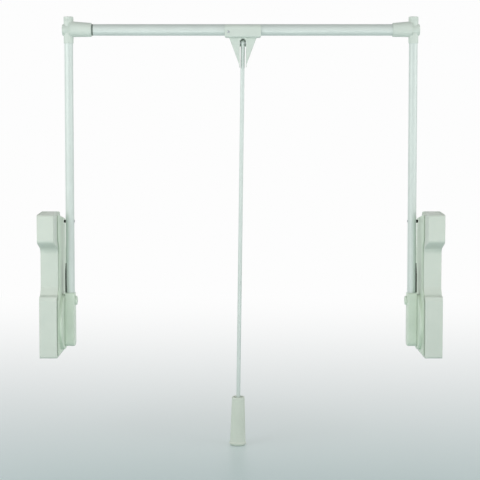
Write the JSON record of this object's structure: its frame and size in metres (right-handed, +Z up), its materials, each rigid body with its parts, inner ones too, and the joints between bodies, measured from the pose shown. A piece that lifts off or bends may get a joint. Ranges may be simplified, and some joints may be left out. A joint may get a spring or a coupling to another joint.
{
  "type": "pull down closet rod",
  "caption": "Wardrobe lift: two wall-mounted spring housings with swinging arms, a telescopic hanging rod and a pull rod with a grip.",
  "frame": {"origin": "the point where the pivot axis meets the left cabinet wall, on the wall face of the left housing", "axes": "+X along the pivot axis and the hanging rod, from the left wall to the right wall; -Y towards the front of the cabinet; +Z up"},
  "size_m": [0.83, 0.188, 0.901],
  "materials": {
    "moulded_plastic": "satin moulded ABS, pale grey green",
    "painted_tube": "satin powder coat, pale grey",
    "cast_alloy": "painted die casting, pale grey green",
    "steel": "bright zinc plated",
    "bronze": "sintered",
    "black_rubber": "matt",
    "black_plastic": "moulded POM, black"
  },
  "bodies": {
    "left_housing": {"left_housing_shell": "moulded_plastic", "left_chassis_plate": "steel", "left_shell_screws": "steel", "left_side_cover": "moulded_plastic", "left_pivot_bush": "bronze", "left_spring_anchor": "steel", "left_springs": "steel", "left_stop_buffers": "black_rubber", "left_rotary_damper": "black_plastic"},
    "left_arm": {"left_pivot_shaft": "steel", "left_crank": "steel", "left_crank_pin": "steel", "left_lever": "cast_alloy", "left_clamp_screw": "cast_alloy", "left_arm_tube": "painted_tube", "left_arm_strip": "black_rubber", "left_arm_bumper": "black_rubber", "left_bumper_rivet": "steel", "left_corner_connector": "moulded_plastic", "left_connector_cap": "moulded_plastic", "left_lock_screw": "steel", "rod_reducer": "black_plastic", "inner_rod": "painted_tube"},
    "right_housing": {"right_housing_shell": "moulded_plastic", "right_chassis_plate": "steel", "right_shell_screws": "steel", "right_side_cover": "moulded_plastic", "right_pivot_bush": "bronze", "right_spring_anchor": "steel", "right_springs": "steel", "right_stop_buffers": "black_rubber", "right_rotary_damper": "black_plastic"},
    "right_arm": {"right_pivot_shaft": "steel", "right_crank": "steel", "right_crank_pin": "steel", "right_lever": "cast_alloy", "right_clamp_screw": "cast_alloy", "right_arm_tube": "painted_tube", "right_arm_strip": "black_rubber", "right_arm_bumper": "black_rubber", "right_bumper_rivet": "steel", "right_corner_connector": "moulded_plastic", "right_connector_cap": "moulded_plastic", "right_lock_screw": "steel", "hanging_rod": "painted_tube", "pull_bracket": "moulded_plastic", "bracket_pin": "steel", "bracket_screw": "steel"},
    "pull_rod": {"pull_rod": "painted_tube", "pull_grip": "moulded_plastic"}
  },
  "joints": [
    {"name": "lift_swing", "type": "hinge", "parent": "left_housing", "child": "left_arm", "pos_m": [0.046, 0, 0], "axis": [1, 0, 0], "range_deg": [0, 105], "stiffness_Nm_per_rad": 2.6, "springref_deg": -51.57, "deforming": ["left_springs"]},
    {"name": "width_slide", "type": "slide", "parent": "left_housing", "child": "right_housing", "axis": [1, 0, 0], "range_m": [0, 0.32]},
    {"name": "right_swing", "type": "hinge", "parent": "right_housing", "child": "right_arm", "pos_m": [0.784, 0, 0], "axis": [1, 0, 0], "range_deg": [0, 105], "stiffness_Nm_per_rad": 2.6, "springref_deg": -51.57, "deforming": ["right_springs"]},
    {"name": "pull_rod_swing", "type": "hinge", "parent": "right_arm", "child": "pull_rod", "pos_m": [0.4189, 0, 0.584], "axis": [1, 0, 0], "range_deg": [-105, 3]}
  ],
  "couplings": [
    {"joint": "right_swing", "follows": "lift_swing", "ratio": 1}
  ]
}
